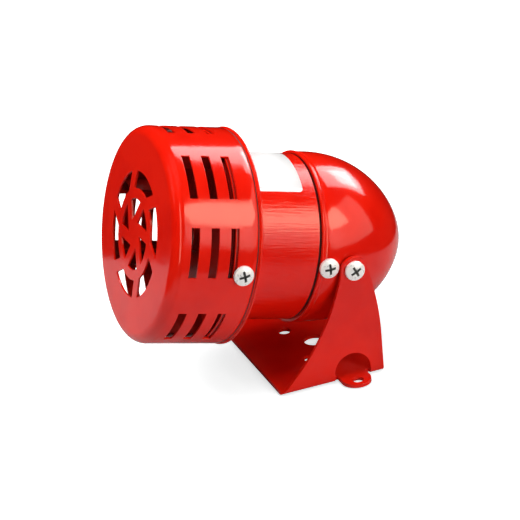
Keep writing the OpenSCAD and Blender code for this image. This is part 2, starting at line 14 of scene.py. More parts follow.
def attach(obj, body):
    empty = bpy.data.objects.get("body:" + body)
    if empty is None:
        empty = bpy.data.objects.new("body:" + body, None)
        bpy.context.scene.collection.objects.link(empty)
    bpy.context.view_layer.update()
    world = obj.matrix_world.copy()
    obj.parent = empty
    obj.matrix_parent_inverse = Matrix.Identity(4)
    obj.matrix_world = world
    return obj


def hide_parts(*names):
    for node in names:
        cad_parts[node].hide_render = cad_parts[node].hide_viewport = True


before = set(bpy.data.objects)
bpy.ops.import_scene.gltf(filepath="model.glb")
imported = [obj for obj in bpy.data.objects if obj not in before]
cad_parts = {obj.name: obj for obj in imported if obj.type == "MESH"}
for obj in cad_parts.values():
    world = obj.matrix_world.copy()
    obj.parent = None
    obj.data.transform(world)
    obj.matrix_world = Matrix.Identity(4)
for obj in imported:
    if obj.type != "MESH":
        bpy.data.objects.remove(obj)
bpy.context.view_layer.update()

MM = 0.001
TILT = math.radians(14.4)
PIVOT_Y, PIVOT_Z = 5.0, 43.4
PIVOT = Vector((0, PIVOT_Y, PIVOT_Z))
PIVOT_S = 72.6
SHEET = 0.8

# Drum: its side, its crowned face and the corner between them, and the steps of its mesh in degrees
DRUM_R = 39.7
DRUM_REAR = 33.2
CORNER = 4.0
FLAT_R = DRUM_R - CORNER
FACE = -0.4
CROWN = 0.69
FACE_RING_R = FLAT_R - 1.2
FACE_EDGE_R = FLAT_R - 0.4
SIDE_STEP = 1.5
SIDE_LEAST = 0.5

# Slots in the drum's side: the middles of their eight rows, and where each slot of a row starts
SLOT_ROWS = [31.8 + 90 * k + side * 20.8 for k in range(4) for side in (-1, 1)]
SLOT_STARTS = (6.0, 13.5, 21.0)
SLOT_W = 3.05
SLOT_L = 18.0
SLOT_HALF = math.degrees(math.asin(SLOT_L / 2 / DRUM_R))

# Grille: radii of its ring of openings and of its petals, and angles where an opening starts and ends
GRILLE_R = 23.2
RING_R = 16.8
RING_OUTSIDE = (-2, 45.5)
RING_INSIDE = (10, 52)
PETAL_R = 13.0
PETAL_SPAN = (-37, 5)
PETAL_TIP_R = 5.2
PETAL_TIP_TURN = 11
RING_CORNER_R = 0.45
PETAL_CORNER_R = 0.35

# Groove and bead at the drum's rear edge, the line as (s, depth below the drum's radius), and the span of the
# groove that is painted dark as shade
HEM_LINE = (
    (28.6, 0.0), (30.75, 0.0), (31.0, 0.1), (31.35, 0.34),
    (31.6, 0.4), (31.85, 0.36), (32.3, 0.2), (DRUM_REAR, 0.2),
)
HEM_SHADE = (31.3, 31.9)
HEM_R = 0.5
HEM_SINK = 0.18

# Pan behind the drum, and the part of its rim that laps inside the drum, painted darker as shade
PAN_FRONT = 23.0
PAN_REAR = 34.0
PAN_R = DRUM_R - SHEET
PAN_CORNER = 1.6
PAN_BORE_R = 8.0
PAN_LAP_SHADE = (23.5, 31)
PAN_LAP_SHADE_DEPTH = 2

# Housing, its line as (s, depth below its radius), with the groove in front of the cap's rim, and the span
# and depth of that groove that is painted dark as shade
HOUSING_R = 30.85
HOUSING_END = 66.4
HOUSING_LINE = (
    (PAN_REAR, SHEET), (PAN_REAR, 0.0), (59.05, 0.0), (59.2, 0.4), (60.1, 0.4),
    (60.3, 0.0), (66.25, 0.0), (HOUSING_END, 0.15), (HOUSING_END, SHEET),
)
CAP_JOINT_SHADE = (59.1, 60.2)
CAP_JOINT_SHADE_DEPTH = 0.6

# Label on the housing's top, and how many times each half of it is cut so that it can curve
LABEL_FRONT = 36.5
LABEL_REAR = 54.3
LABEL_HALF_TURN = 38.0
LABEL_CORNER = 1.5
LABEL_CUTS = 40
FILM = 0.12
TOP_TURN = 90.0

# Cap: a straight skirt, a shoulder arc and a nose arc; its groove as (s, depth below its radius)
CAP_R = 31.7
CAP_START = 59.9
CAP_SKIRT_END = 64.0
CAP_SHOULDER = 65.5
SHOULDER_R = 39.8
NOSE_R = 22.0
RIM_R = 0.45
RIM_SINK = 0.15
CAP_GROOVE = ((61.0, 0.1), (61.2, 0.26), (61.5, 0.34), (61.8, 0.26), (62.05, 0.05), (62.3, 0.0))

# Screws: turns of each pair, their places along the head, the pan head, the shank, the radii of their tips,
# and the levels of the recess as (height, half length, half width)
SCREW_TURNS = (0, 180)
DRUM_SCREW_S = 26.7
CAP_SCREW_S = 63.3
SEAT_GAP = 0.06
HEAD_R = 3.7
HEAD_H = 2.1
HEAD_CROWN = 8.0
HEAD_EDGE = 0.25
SHANK_R = 2.0
SHANK_POINT_R = 1.7
SHANK_TAPER = 0.4
DRUM_SCREW_TIP = DRUM_R - 3.4
CAP_SCREW_TIP = CAP_R - 4.6
PIVOT_SCREW_TIP = CAP_R - 5.4
RECESS_LEVELS = ((0.75, 1.0, 0.28), (1.4, 1.8, 0.38), (2.4, 2.5, 0.50))

# Bracket: its sheet, and the length of the outer skin round the bend
HALF_W = 33.75
PLATE = 1.4
BEND = 1.8
BEND_SKIN = BEND * math.pi / 2
BEND_CUTS = 8
BASE_HALF_W = HALF_W - BEND
FRONT = -27.1
REAR = 13.9

# Side plates of the bracket: ear, front and back edges, and the arch that the foot tabs are pressed out of
EAR_R = 5.0
EAR_HOLE_R = 2.06
FRONT_EDGE_R = 80.0
BACK_EDGE_R = 100.0
BACK_EDGE_Z = 15.7
ARCH_Y = 1.6
ARCH_R = 7.1
ARCH_TOP = 10.3
TAB_X = 36.4
TAB_R = 5.6
TAB_NOTCH = 0.2
BASE_HOLES = ((0, 0, 4.25), (13, -7.3, 2.5), (-13, -7.3, 2.5), (38, ARCH_Y, 2.1), (-38, ARCH_Y, 2.1))


# ---------------------------------------------------------------- places and outlines

def head_place(x, s, h):
    """A point of the head in the model's frame; h is up from the head's axis."""
    y, z = s - PIVOT_S, h
    return Vector((
        x,
        PIVOT.y + y * math.cos(TILT) + z * math.sin(TILT),
        PIVOT.z - y * math.sin(TILT) + z * math.cos(TILT),
    ))


def head_way(x, s, h):
    """A direction on the head, in the model's frame."""
    return head_place(x, s, h) - head_place(0, 0, 0)


def polar(r, turn):
    """Flat position of a point at radius r."""
    return r * math.cos(math.radians(turn)), r * math.sin(math.radians(turn))


def round_place(s, r, turn):
    """A point of the head at radius r."""
    x, h = polar(r, turn)
    return head_place(x, s, h)


def apart(a, b):
    """Angle between two turns."""
    return abs((a - b + 180) % 360 - 180)


def arc(cx, cy, r, a0, a1, steps):
    """Points of an arc, angles in degrees."""
    return [
        (cx + r * math.cos(math.radians(a)), cy + r * math.sin(math.radians(a)))
        for a in (a0 + (a1 - a0) * i / steps for i in range(steps + 1))
    ]


def hole_outline(cx, cy, r):
    """Points of a whole circle, 7.5 degrees apart."""
    return arc(cx, cy, r, 0, 352.5, 47)


def profile_arc(s, r, radius, a0, a1, steps):
    """Arc of (s, r) points; angle 0 is away from the head's axis, and 90 is towards the rear."""
    return [(s + y, r + x) for x, y in arc(0, 0, radius, a0, a1, steps)]


def below(radius, line):
    """Profile points of a line given as (s, depth below a radius)."""
    return [(s, radius - depth) for s, depth in line]


# ---------------------------------------------------------------- mesh tools

def new_object(name, bm, *materials, unit=MM):
    """Makes an object in metres from a bmesh that is in the unit given."""
    bmesh.ops.scale(bm, vec=(unit, unit, unit), verts=bm.verts)
    mesh = bpy.data.meshes.new(name)
    bm.to_mesh(mesh)
    bm.free()
    for material in materials:
        mesh.materials.append(material)
    obj = bpy.data.objects.new(name, mesh)
    bpy.context.scene.collection.objects.link(obj)
    return obj


def piece(name, bm, material, body, nodes, sharp=32):
    """Makes an object from a bmesh in millimetres, in place of the CAD nodes named."""
    bmesh.ops.remove_doubles(bm, verts=bm.verts, dist=1e-5)
    bmesh.ops.recalc_face_normals(bm, faces=bm.faces)
    obj = new_object(name, bm, material)
    obj.data.shade_smooth()
    obj.data.set_sharp_from_angle(angle=math.radians(sharp))
    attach(obj, body)
    if nodes:
        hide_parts(*nodes)
    return obj


def tint(obj, material, first_s, last_s, least_r=0.0):
    """Gives a second material to the head's faces whose middles lie in a span of s and beyond a radius."""
    obj.data.materials.append(material)
    axis = head_way(0, 1, 0)
    start = head_place(0, 0, 0)
    for face in obj.data.polygons:
        v = face.center / MM - start
        s = v.dot(axis)
        if first_s < s < last_s and (v - axis * s).length > least_r:
            face.material_index = 1


def soften(obj, width, segments=2, angle=40):
    """Rounds an object's edges and keeps its broad faces flat."""
    mod = obj.modifiers.new("rounded edges", "BEVEL")
    mod.width = width * MM
    mod.segments = segments
    mod.limit_method = "ANGLE"
    mod.angle_limit = math.radians(angle)
    mod.harden_normals = True
    mod.miter_outer = "MITER_ARC"
    mod.use_clamp_overlap = True


def thicken(obj, depth):
    """Gives an outer skin its sheet thickness, inwards."""
    mod = obj.modifiers.new("sheet", "SOLIDIFY")
    mod.thickness = depth * MM
    mod.offset = -1
    mod.use_even_offset = True
    mod.use_quality_normals = True


def apply_modifiers(obj):
    """Bakes an object's modifiers into its mesh."""
    graph = bpy.context.evaluated_depsgraph_get()
    graph.update()
    baked = bpy.data.meshes.new_from_object(obj.evaluated_get(graph))
    obj.modifiers.clear()
    old = obj.data
    obj.data = baked
    bpy.data.meshes.remove(old)


def lathe(bm, profile, place, steps=240, closed=True):
    """Turns a profile of (s, r) points; place(s, r, turn) puts each point, and r is 0 only at an open end."""
    rings = []
    for s, r in profile:
        count = steps if r > 1e-6 else 1
        rings.append([bm.verts.new(place(s, r, 360.0 * k / steps)) for k in range(count)])
    pairs = list(zip(rings, rings[1:]))
    if closed:
        pairs.append((rings[-1], rings[0]))
    for a, b in pairs:
        for k in range(steps):
            m = (k + 1) % steps
            if len(a) == 1:
                bm.faces.new((a[0], b[m], b[k]))
            elif len(b) == 1:
                bm.faces.new((a[k], a[m], b[0]))
            else:
                bm.faces.new((a[k], a[m], b[m], b[k]))


def fill_outline(bm, outlines):
    """Fills a flat outline, the first of those given, and leaves the others as holes."""
    edges = []
    for points in outlines:
        loop = [bm.verts.new((x, y, 0)) for x, y in points]
        edges += [bm.edges.new(pair) for pair in zip(loop, loop[1:] + loop[:1])]
    bmesh.ops.triangle_fill(bm, use_beauty=True, use_dissolve=False, edges=edges)


def cut_across(bm, x):
    """Cuts a flat mesh along the line at x, so that it can bend there."""
    geom = bm.verts[:] + bm.edges[:] + bm.faces[:]
    bmesh.ops.bisect_plane(bm, geom=geom, dist=1e-5, plane_co=(x, 0, 0), plane_no=(1, 0, 0))


# ---------------------------------------------------------------- materials

def shader(name):
    """A new material, its node tree and its main shader."""
    mat = bpy.data.materials.new(name)
    mat.use_nodes = True
    tree = mat.node_tree
    return mat, tree, tree.nodes["Principled BSDF"]


def node(tree, kind, **values):
    """Adds a node; each value goes to the input of that name, or else to the setting of that name."""
    n = tree.nodes.new(kind)
    for key, value in values.items():
        if key in n.inputs:
            n.inputs[key].default_value = value
        else:
            setattr(n, key, value)
    return n


def noise(tree, coordinates, **values):
    """Noise over the coordinates given."""
    n = node(tree, "ShaderNodeTexNoise", **values)
    tree.links.new(coordinates, n.inputs["Vector"])
    return n.outputs["Fac"]


def remap(tree, value, low, high, to_low=0.0, to_high=1.0):
    """Stretches low to high onto to_low to to_high."""
    n = node(tree, "ShaderNodeMapRange")
    n.inputs["From Min"].default_value = low
    n.inputs["From Max"].default_value = high
    n.inputs["To Min"].default_value = to_low
    n.inputs["To Max"].default_value = to_high
    tree.links.new(value, n.inputs["Value"])
    return n.outputs["Result"]


def two_tones(tree, factor, first, second):
    """Mixes two colours."""
    n = node(tree, "ShaderNodeMix", data_type="RGBA")
    n.inputs["A"].default_value = (*first, 1)
    n.inputs["B"].default_value = (*second, 1)
    tree.links.new(factor, n.inputs["Factor"])
    return n.outputs["Result"]


def bump(tree, height, strength, distance, normal=None):
    """Raises the surface by a height; distance is in metres. It can lie on another bump's normal."""
    n = node(tree, "ShaderNodeBump", Strength=strength, Distance=distance)
    tree.links.new(height, n.inputs["Height"])
    if normal is not None:
        tree.links.new(normal, n.inputs["Normal"])
    return n.outputs["Normal"]


def paint(name, colour, dark, roughness=0.12, streaks=0.0):
    """Stoved gloss enamel: orange peel, slow waves of the sheet, and streaks along the head if asked for."""
    mat, tree, p = shader(name)
    link = tree.links.new
    where = node(tree, "ShaderNodeTexCoord").outputs["Object"]
    depth = noise(tree, where, Scale=45.0, Detail=3.0, Roughness=0.5)
    tone = two_tones(tree, remap(tree, depth, 0.35, 0.6), dark, colour)
    link(tone, p.inputs["Base Color"])
    waves = noise(tree, where, Scale=70.0, Detail=0.0)
    normal = bump(tree, waves, strength=0.10, distance=0.001)
    if streaks:
        along = node(tree, "ShaderNodeMapping", vector_type="TEXTURE")
        along.inputs["Rotation"].default_value = (-TILT, 0, 0)
        along.inputs["Scale"].default_value = (1, 18, 1)
        link(where, along.inputs["Vector"])
        drawn = noise(tree, along.outputs["Vector"], Scale=1700.0, Detail=2.0, Roughness=0.6)
        normal = bump(tree, drawn, strength=streaks, distance=0.0002, normal=normal)
    peel = noise(tree, where, Scale=420.0, Detail=2.0, Roughness=0.5)
    link(bump(tree, peel, strength=0.05, distance=0.0004, normal=normal), p.inputs["Normal"])
    p.inputs["Roughness"].default_value = roughness
    p.inputs["Specular IOR Level"].default_value = 0.4
    return mat


def metal(name, colour, roughness, scratches=0.15, scale=600.0, metallic=1.0):
    """Bare or plated metal with fine wear in its polish."""
    mat, tree, p = shader(name)
    link = tree.links.new
    where = node(tree, "ShaderNodeTexCoord").outputs["Object"]
    fine = noise(tree, where, Scale=scale, Detail=4.0, Roughness=0.6)
    link(remap(tree, fine, 0.3, 0.7, roughness * 0.7, roughness * 1.5), p.inputs["Roughness"])
    link(bump(tree, fine, strength=scratches, distance=0.0001), p.inputs["Normal"])
    p.inputs["Base Color"].default_value = (*colour, 1)
    p.inputs["Metallic"].default_value = metallic
    return mat


def plain(name, colour, roughness, grain=0.1, scale=800.0, spread=0.85):
    """A dielectric with a little grain and colour variation."""
    mat, tree, p = shader(name)
    link = tree.links.new
    where = node(tree, "ShaderNodeTexCoord").outputs["Object"]
    fine = noise(tree, where, Scale=scale, Detail=3.0, Roughness=0.6)
    link(two_tones(tree, fine, [c * spread for c in colour], colour), p.inputs["Base Color"])
    link(bump(tree, fine, strength=grain, distance=0.0002), p.inputs["Normal"])
    p.inputs["Roughness"].default_value = roughness
    return mat


ENAMEL = ((0.80, 0.011, 0.003), (0.70, 0.007, 0.002))
RED = paint("red enamel", *ENAMEL)
DRAWN_RED = paint("red enamel on drawn tube", *ENAMEL, roughness=0.13, streaks=0.5)
# Darker red that paints the shade inside the drum, on the rotor and on the pan's lap
SHADED_RED = paint("red enamel darkened as painted shade", (0.32, 0.006, 0.003), (0.24, 0.004, 0.002), roughness=0.25)
NICKEL = metal("bright nickel", (0.86, 0.84, 0.80), 0.16, scratches=0.1)
SCREW_PLATE = metal("bright zinc plate", (0.97, 0.96, 0.93), 0.30, scratches=0.1, metallic=0.35)
# Near-black red that paints shade into the grooves at the drum's hem and in front of the cap's rim
PAINTED_GROOVE_SHADE = plain("painted groove shade", (0.085, 0.003, 0.002), 0.6)
# Dark grey painted into the screws' recesses as shade
RECESS_SHADE = plain("painted shade in screw recess", (0.10, 0.10, 0.09), 0.5, grain=0.2)
ZINC = metal("zinc plate", (0.68, 0.69, 0.70), 0.30)
CORE = metal("lamination steel", (0.33, 0.33, 0.35), 0.45, scratches=0.3)
COPPER = metal("commutator copper", (0.80, 0.42, 0.25), 0.28)
BRONZE = metal("sintered bronze", (0.62, 0.42, 0.20), 0.45, scratches=0.3, scale=1500.0)
BRASS = metal("brass sheet", (0.80, 0.62, 0.28), 0.25)
WIRE = metal("enamelled wire", (0.60, 0.20, 0.08), 0.30, scratches=0.4, scale=400.0)
LABEL = plain("label film", (0.99, 0.99, 0.98), 0.40, grain=0.03, scale=500.0, spread=0.98)
RUBBER = plain("black rubber", (0.018, 0.018, 0.018), 0.55, grain=0.2)
CARBON = plain("carbon", (0.03, 0.03, 0.033), 0.5, grain=0.3)
RESIN = plain("dark resin", (0.06, 0.03, 0.02), 0.4)
SLEEVE = plain("lead insulation", (0.03, 0.03, 0.035), 0.35, grain=0.05)


# ---------------------------------------------------------------- drum

def face_s(r):
    """The s of the drum's face at a radius, with its crown."""
    return FACE - CROWN * max(0.0, 1 - (r / FLAT_R) ** 2)


def rounded(points, corners, radius, steps=4):
    """Rounds the corners of a polygon that are listed, by their places in its points."""
    out = []
    n = len(points)
    for i, (x, y) in enumerate(points):
        if i not in corners:
            out.append((x, y))
            continue
        p = Vector((x, y))
        a = Vector(points[i - 1]) - p
        b = Vector(points[(i + 1) % n]) - p
        half = a.angle(b) / 2
        cut = min(radius / math.tan(half), a.length * 0.45, b.length * 0.45)
        pa, pb = p + a.normalized() * cut, p + b.normalized() * cut
        for k in range(steps + 1):
            t = k / steps
            q = pa * (1 - t) ** 2 + p * 2 * t * (1 - t) + pb * t ** 2
            out.append((q.x, q.y))
    return out


def ring_opening(turn):
    """One comma-shaped opening of the grille's outer ring."""
    outer = arc(0, 0, GRILLE_R, turn + RING_OUTSIDE[0], turn + RING_OUTSIDE[1], 14)
    inner = arc(0, 0, RING_R, turn + RING_INSIDE[1], turn + RING_INSIDE[0], 10)
    n = len(outer)
    return rounded(outer + inner, (0, n - 1, n, n + len(inner) - 1), RING_CORNER_R)


def petal_opening(turn):
    """One petal of the grille's middle."""
    outer = arc(0, 0, PETAL_R, turn + PETAL_SPAN[0], turn + PETAL_SPAN[1], 12)
    tip = polar(PETAL_TIP_R, turn + PETAL_TIP_TURN)
    n = len(outer)
    return rounded(outer + [tip], (0, n - 1, n), PETAL_CORNER_R)


def drum():
    """Drum with its slots and grille, as one bent sheet."""
    bm = bmesh.new()
    # The side is divided at the slots' ends and in even steps between them.
    ends = [a % 360 for row in SLOT_ROWS for a in (row - SLOT_HALF, row + SLOT_HALF)]
    even = [SIDE_STEP * k for k in range(round(360 / SIDE_STEP))]
    turns = sorted(ends + [a for a in even if min(apart(a, e) for e in ends) > SIDE_LEAST])
    n = len(turns)
    middles = [(a + b) / 2 for a, b in zip(turns, turns[1:] + [turns[0] + 360])]
    in_row = [any(apart(mid, row) < SLOT_HALF for row in SLOT_ROWS) for mid in middles]

    profile = [(face_s(r), r) for r in (FACE_RING_R, FACE_EDGE_R)]
    profile += arc(FACE + CORNER, FLAT_R, CORNER, 180, 90, 12)
    for start in SLOT_STARTS:
        profile += [(start, DRUM_R), (start + SLOT_W, DRUM_R)]
    profile += below(DRUM_R, HEM_LINE)
    rings = [[bm.verts.new(round_place(s, r, a)) for a in turns] for s, r in profile]
    for i in range(len(profile) - 1):
        slotted = profile[i][0] in SLOT_STARTS
        for k in range(n):
            if slotted and in_row[k]:
                continue
            m = (k + 1) % n
            bm.faces.new((rings[i][k], rings[i][m], rings[i + 1][m], rings[i + 1][k]))

    # The face: its openings are drawn flat and then lifted onto the crown.
    flat = bmesh.new()
    outlines = [[polar(FACE_RING_R, a) for a in turns]]
    for turn in range(0, 360, 60):
        outlines += [ring_opening(turn), petal_opening(turn)]
    fill_outline(flat, outlines)
    lifted = {v: bm.verts.new(head_place(v.co.x, face_s(v.co.xy.length), v.co.y)) for v in flat.verts}
    for f in flat.faces:
        bm.faces.new([lifted[v] for v in f.verts])
    flat.free()
    bmesh.ops.remove_doubles(bm, verts=bm.verts, dist=1e-4)
    shell = piece("drum", bm, RED, "head", ["front_shell"], sharp=45)
    # The groove by the drum's hem is painted dark as shade.
    tint(shell, PAINTED_GROOVE_SHADE, *HEM_SHADE)
    thicken(shell, SHEET)
    soften(shell, 0.13)


def hem():
    """Rolled bead round the drum's rear edge, a part of the same shell."""
    bm = bmesh.new()
    lathe(bm, profile_arc(DRUM_REAR - HEM_R, DRUM_R - HEM_SINK, HEM_R, 0, 345, 23), round_place)
    piece("drum_hem", bm, RED, "head", [])


# ---------------------------------------------------------------- housing, cap, pan

def housing():
    """Drawn tube round the motor."""
    bm = bmesh.new()
    lathe(bm, below(HOUSING_R, HOUSING_LINE), round_place)
    tube = piece("housing_tube", bm, DRAWN_RED, "head", ["motor_housing"])
    # The groove in front of the cap's rim is painted dark as shade.
    tint(tube, PAINTED_GROOVE_SHADE, *CAP_JOINT_SHADE, HOUSING_R - CAP_JOINT_SHADE_DEPTH)


def cap_profile(inset):
    """Line of the cap from its skirt to the tip of its nose, at a depth under its outer skin."""
    drop = SHOULDER_R - CAP_R
    reach = SHOULDER_R - NOSE_R
    nose_s = CAP_SHOULDER + math.sqrt(reach ** 2 - drop ** 2)
    join = math.degrees(math.atan2(drop, nose_s - CAP_SHOULDER))
    shoulder = arc(CAP_SHOULDER, -drop, SHOULDER_R - inset, 90, join, 28)
    nose = arc(nose_s, 0, NOSE_R - inset, join, 0, 8)
    return shoulder + nose[1:]


def cap():
    """Domed cap: an outer and an inner skin that meet at its rim."""
    bm = bmesh.new()
    inner_r = CAP_R - SHEET
    rim = profile_arc(CAP_START + RIM_R, CAP_R - RIM_SINK, RIM_R, -90, 90, 10)
    skirt = below(CAP_R, CAP_GROOVE) + [(CAP_SKIRT_END, CAP_R)]
    outside = [(CAP_START, inner_r)] + rim + skirt + cap_profile(0)
    inside = [(CAP_START, inner_r), (CAP_SKIRT_END, inner_r)] + cap_profile(SHEET)
    for profile in (outside, inside):
        lathe(bm, profile, round_place, closed=False)
    bmesh.ops.remove_doubles(bm, verts=bm.verts, dist=1e-4)
    piece("cap_dome", bm, RED, "head", ["rear_cap"])


def pan():
    """Pan that closes the drum's back, with a rounded front edge."""
    bm = bmesh.new()
    half = SHEET / 2
    corner_s = PAN_REAR - PAN_CORNER
    corner_r = PAN_R - PAN_CORNER
    outer = profile_arc(PAN_FRONT + half, PAN_R - half, half, -180, 0, 12)
    outer += profile_arc(corner_s, corner_r, PAN_CORNER, 0, 90, 8) + [(PAN_REAR, PAN_BORE_R)]
    inner = [(PAN_REAR - SHEET, PAN_BORE_R)] + profile_arc(corner_s, corner_r, PAN_CORNER - SHEET, 90, 0, 6)
    lathe(bm, outer + inner, round_place)
    obj = piece("pan", bm, RED, "head", ["flange_pan"])
    # The pan's lap inside the drum is painted a darker red as shade.
    tint(obj, SHADED_RED, *PAN_LAP_SHADE, PAN_R - PAN_LAP_SHADE_DEPTH)


def label():
    """A blank film label that follows the housing's curve."""
    bm = bmesh.new()
    middle_s = (LABEL_FRONT + LABEL_REAR) / 2
    half_s = (LABEL_REAR - LABEL_FRONT) / 2
    half_l = math.radians(LABEL_HALF_TURN) * HOUSING_R
    c = LABEL_CORNER
    outline = []
    for k, (x, y) in enumerate(((1, 1), (-1, 1), (-1, -1), (1, -1))):
        outline += arc(x * (half_l - c), y * (half_s - c), c, 90 * k, 90 * k + 90, 8)
    fill_outline(bm, [outline])
    for k in range(-LABEL_CUTS, LABEL_CUTS + 1):
        cut_across(bm, k * half_l / (LABEL_CUTS + 0.5))
    for v in bm.verts:
        turn = TOP_TURN + math.degrees(v.co.x / HOUSING_R)
        v.co = round_place(middle_s + v.co.y, HOUSING_R + FILM, turn)
    film = piece("label_film", bm, LABEL, "head", ["rating_label"])
    thicken(film, FILM)


# ---------------------------------------------------------------- screws

def screw(bm, place, seat, tip):
    """A pan head screw; place(x, y, z) puts it, with z out along its axis from the head's seat."""
    end = tip - seat
    edge_r = HEAD_R - HEAD_EDGE
    dome = arc(HEAD_H - HEAD_CROWN, 0, HEAD_CROWN, math.degrees(math.asin(edge_r / HEAD_CROWN)), 0, 9)
    edge_h = dome[0][0]
    profile = [(end, 0.0), (end, SHANK_POINT_R), (end + SHANK_TAPER, SHANK_R), (0.0, SHANK_R)]
    # The head's edge is eased below and above.
    profile += [(0.0, HEAD_R - 0.2), (0.15, HEAD_R), (edge_h - 0.22, HEAD_R), (edge_h - 0.06, HEAD_R - 0.08)]
    lathe(bm, profile + dome, lambda s, r, turn: place(*polar(r, turn), s), 64, closed=False)


def recess_cutter(name, places, turns):
    """Tapered crosses that cut the driver recess of each screw; the faces they leave are painted dark as
    shade.
    """
    bm = bmesh.new()
    for place, turn in zip(places, turns):
        for quarter in (0, 90):
            ca, sa = polar(1, turn + quarter)
            levels = []
            for z, half_l, half_w in RECESS_LEVELS:
                ring = []
                for x, y in ((-half_l, -half_w), (half_l, -half_w), (half_l, half_w), (-half_l, half_w)):
                    ring.append(bm.verts.new(place(x * ca - y * sa, x * sa + y * ca, z)))
                levels.append(ring)
            bm.faces.new(levels[0][::-1])
            bm.faces.new(levels[-1])
            for lo, hi in zip(levels, levels[1:]):
                for k in range(4):
                    m = (k + 1) % 4
                    bm.faces.new((lo[k], lo[m], hi[m], hi[k]))
    bmesh.ops.recalc_face_normals(bm, faces=bm.faces)
    for face in bm.faces:
        face.material_index = 1
    return new_object(name, bm, SCREW_PLATE, RECESS_SHADE)


def radial_place(s, seat, turn):
    """Place function of a screw that points in along the head's radius."""
    c, h = polar(1, turn)
    out = head_way(c, 0, h)
    side = head_way(-h, 0, c)
    along = head_way(0, 1, 0)
    base = round_place(s, seat, turn)
    return lambda x, y, z: base + along * x + side * y + out * z


def screws(name, node_name, s, seat, tip, recess_turns):
    """A pair of screws at s, from the radius of their seats to that of their tips."""
    places = [radial_place(s, seat, turn) for turn in SCREW_TURNS]
    bm = bmesh.new()
    for place in places:
        screw(bm, place, seat, tip)
    obj = piece(name, bm, SCREW_PLATE, "head", [node_name], sharp=30)
    # Second slot for the painted shade in the recesses.
    obj.data.materials.append(RECESS_SHADE)
    cutter = recess_cutter(name + "_recess", places, recess_turns)
    cut = obj.modifiers.new("recess", "BOOLEAN")
    cut.object = cutter
    cut.operation = "DIFFERENCE"
    cut.solver = "EXACT"
    cut.use_self = True
    apply_modifiers(obj)
    bpy.data.objects.remove(cutter)
    obj.data.set_sharp_from_angle(angle=math.radians(30))
    soften(obj, 0.05, 2, 35)


# ---------------------------------------------------------------- bracket

def bend_place(v):
    """Across-and-up position on the bracket's outer skin, v along the skin from the start of the bend."""
    if v <= 0:
        return BASE_HALF_W + v, 0.0
    if v < BEND_SKIN:
        a = v / BEND
        return BASE_HALF_W + BEND * math.sin(a), BEND - BEND * math.cos(a)
    return HALF_W, BEND + v - BEND_SKIN


def skin_length(z):
    """Distance along the outer skin from the start of the bend to height z."""
    if z < BEND:
        return BEND * math.acos(1 - max(z, 0.0) / BEND)
    return z - BEND + BEND_SKIN


def circle_through(a, b, r):
    """Centre of the circle through a and b on the left of a-to-b."""
    chord = b - a
    left = Vector((-chord.y, chord.x)).normalized()
    return (a + b) / 2 + left * math.sqrt(r * r - chord.length_squared / 4)


def side_outline():
    """Outline of a side plate in (y, z), from the front of the bend over the ear, and back past the arch."""
    ear = Vector((PIVOT_Y, PIVOT_Z))
    foot = Vector((FRONT, 0.0))
    waist = Vector((PIVOT_Y - EAR_R, PIVOT_Z))
    c = circle_through(foot, waist, FRONT_EDGE_R)
    a0, a1 = (math.degrees(math.atan2(v.y - c.y, v.x - c.x)) for v in (foot, waist))
    out = arc(c.x, c.y, FRONT_EDGE_R, a0, a1, 40)
    out += arc(ear.x, ear.y, EAR_R, 180, 0, 28)[1:]
    top = math.degrees(math.asin((PIVOT_Z - BACK_EDGE_Z) / BACK_EDGE_R))
    out += arc(REAR - BACK_EDGE_R, BACK_EDGE_Z, BACK_EDGE_R, top, 0, 24)[1:]
    out += [(REAR, z) for z in (10.0, 5.0, BEND, 0.0)]
    out += [(ARCH_Y + ARCH_R, 0.0), (ARCH_Y + ARCH_R, BEND)]
    out += arc(ARCH_Y, ARCH_TOP - ARCH_R, ARCH_R, 0, 180, 28)
    out += [(ARCH_Y - ARCH_R, BEND), (ARCH_Y - ARCH_R, 0.0)]
    return out


def base_side(sign):
    """One side of the base's outline, from the front past the foot tab to the rear."""
    notch = BASE_HALF_W - TAB_NOTCH
    points = [(BASE_HALF_W, FRONT), (BASE_HALF_W, ARCH_Y - ARCH_R)]
    points += [(notch, ARCH_Y - ARCH_R), (notch, ARCH_Y - TAB_R)]
    points += arc(TAB_X, ARCH_Y, TAB_R, -90, 90, 24)
    points += [(notch, ARCH_Y + TAB_R), (notch, ARCH_Y + ARCH_R)]
    points += [(BASE_HALF_W, ARCH_Y + ARCH_R), (BASE_HALF_W, REAR)]
    return [(sign * x, y) for x, y in points]


def bracket():
    """Base, tabs and side plates as one bent sheet."""
    bm = bmesh.new()
    outline = base_side(1) + base_side(-1)[::-1]
    fill_outline(bm, [outline] + [hole_outline(*hole) for hole in BASE_HOLES])

    for sign in (1, -1):
        side = bmesh.new()
        outlines = (side_outline(), hole_outline(PIVOT_Y, PIVOT_Z, EAR_HOLE_R))
        fill_outline(side, [[(skin_length(z), y) for y, z in points] for points in outlines])
        for k in range(1, BEND_CUTS + 1):
            cut_across(side, BEND_SKIN * k / BEND_CUTS)
        moved = {}
        for v in side.verts:
            x, z = bend_place(v.co.x)
            moved[v] = bm.verts.new((sign * x, v.co.y, z))
        for f in side.faces:
            bm.faces.new([moved[v] for v in f.verts])
        side.free()
    bmesh.ops.remove_doubles(bm, verts=bm.verts, dist=1e-3)
    bmesh.ops.recalc_face_normals(bm, faces=bm.faces)

    # The base's skin is its underside, so its faces point down.
    up = sum(f.normal.z * f.calc_area() for f in bm.faces if abs(f.calc_center_median().z) < 0.01)
    if up > 0:
        bmesh.ops.reverse_faces(bm, faces=bm.faces)
    obj = new_object("foot_bracket", bm, RED)
    obj.data.shade_smooth()
    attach(obj, "foot")
    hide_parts("bracket")
    thicken(obj, PLATE)
    soften(obj, 0.22, 3)


# ---------------------------------------------------------------- build

